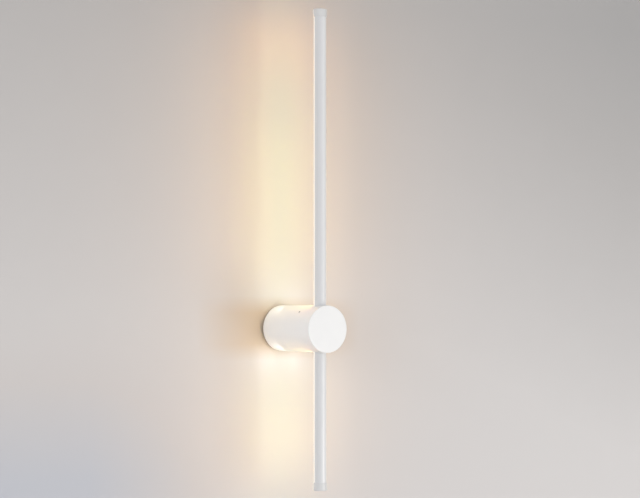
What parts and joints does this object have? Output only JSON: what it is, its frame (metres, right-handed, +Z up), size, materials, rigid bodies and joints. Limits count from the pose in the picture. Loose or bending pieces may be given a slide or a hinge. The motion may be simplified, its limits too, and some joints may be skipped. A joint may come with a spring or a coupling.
{
  "type": "tube wall light",
  "caption": "Slim upright light tube with opal wall-facing diffusers, passing through a round drum that swivels on a base plate on the wall.",
  "frame": {"origin": "on the wall plane, on the drum's axis, midway between the two wall-screw slots", "axes": "+Z up along the tube's long arm, +Y into the wall, +X to the right for someone facing the light"},
  "size_m": [0.06, 0.105, 0.612],
  "materials": {
    "white_paint": "fine satin powder coat",
    "white_plastic": "satin moulded",
    "opal_diffuser": "frosted opal, lit warm from inside",
    "base_plate_grey": "matt dark coat",
    "zinc_steel": "zinc plated",
    "dark_steel": "black oxide",
    "brass": "turned",
    "black_rubber": "matt",
    "driver_plastic": "fine spark texture",
    "board_green": "solder mask",
    "board_white": "white solder mask on aluminium",
    "led_phosphor": "LED package",
    "ferrite": "sintered",
    "copper": "enamelled winding",
    "capacitor_sleeve": "shrink sleeve",
    "wire_insulation": "single cores",
    "white_lead": "round sheath",
    "fibre": "fibre washer"
  },
  "bodies": {
    "wall_base": {"wall_plate": "base_plate_grey", "cable_grommet": "black_rubber", "driver_frame": "zinc_steel", "frame_rivets": "zinc_steel", "terminal_block": "white_plastic", "terminal_inserts": "brass", "terminal_screws": "zinc_steel", "terminal_block_screw": "zinc_steel", "earth_washer": "brass", "earth_screw": "brass", "driver_case": "driver_plastic", "driver_lid": "driver_plastic", "driver_lid_screws": "zinc_steel", "driver_mount_screws": "zinc_steel", "driver_board": "board_green", "driver_transformer": "ferrite", "transformer_winding": "copper", "driver_capacitor": "capacitor_sleeve", "mains_leads": "wire_insulation", "output_lead": "white_lead", "hollow_spindle": "zinc_steel", "rear_nut": "zinc_steel", "jam_nut": "zinc_steel", "friction_washer": "fibre", "disc_spring": "dark_steel", "flat_washer": "zinc_steel", "lock_nut": "zinc_steel", "base_stop_pin": "zinc_steel"},
    "head": {"swivel_bracket": "zinc_steel", "bracket_stop_pin": "zinc_steel", "drum_shell": "white_paint", "side_set_screws": "dark_steel", "front_cap": "white_paint", "tube_clips": "zinc_steel", "clip_screws": "zinc_steel", "tube_profile": "white_paint", "upper_diffuser": "opal_diffuser", "lower_diffuser": "opal_diffuser", "upper_led_board": "board_white", "lower_led_board": "board_white", "upper_leds": "led_phosphor", "lower_leds": "led_phosphor", "top_end_cap": "white_plastic", "bottom_end_cap": "white_plastic", "lead_plug": "white_plastic", "lead_socket": "white_plastic", "connector_pins": "brass", "tube_lead": "white_lead", "board_jumpers": "white_lead"}
  },
  "joints": [
    {"name": "head_rotation", "type": "hinge", "parent": "wall_base", "child": "head", "pos_m": [0, 0, 0], "axis": [0, -1, 0], "range_deg": [-165, 165]}
  ]
}
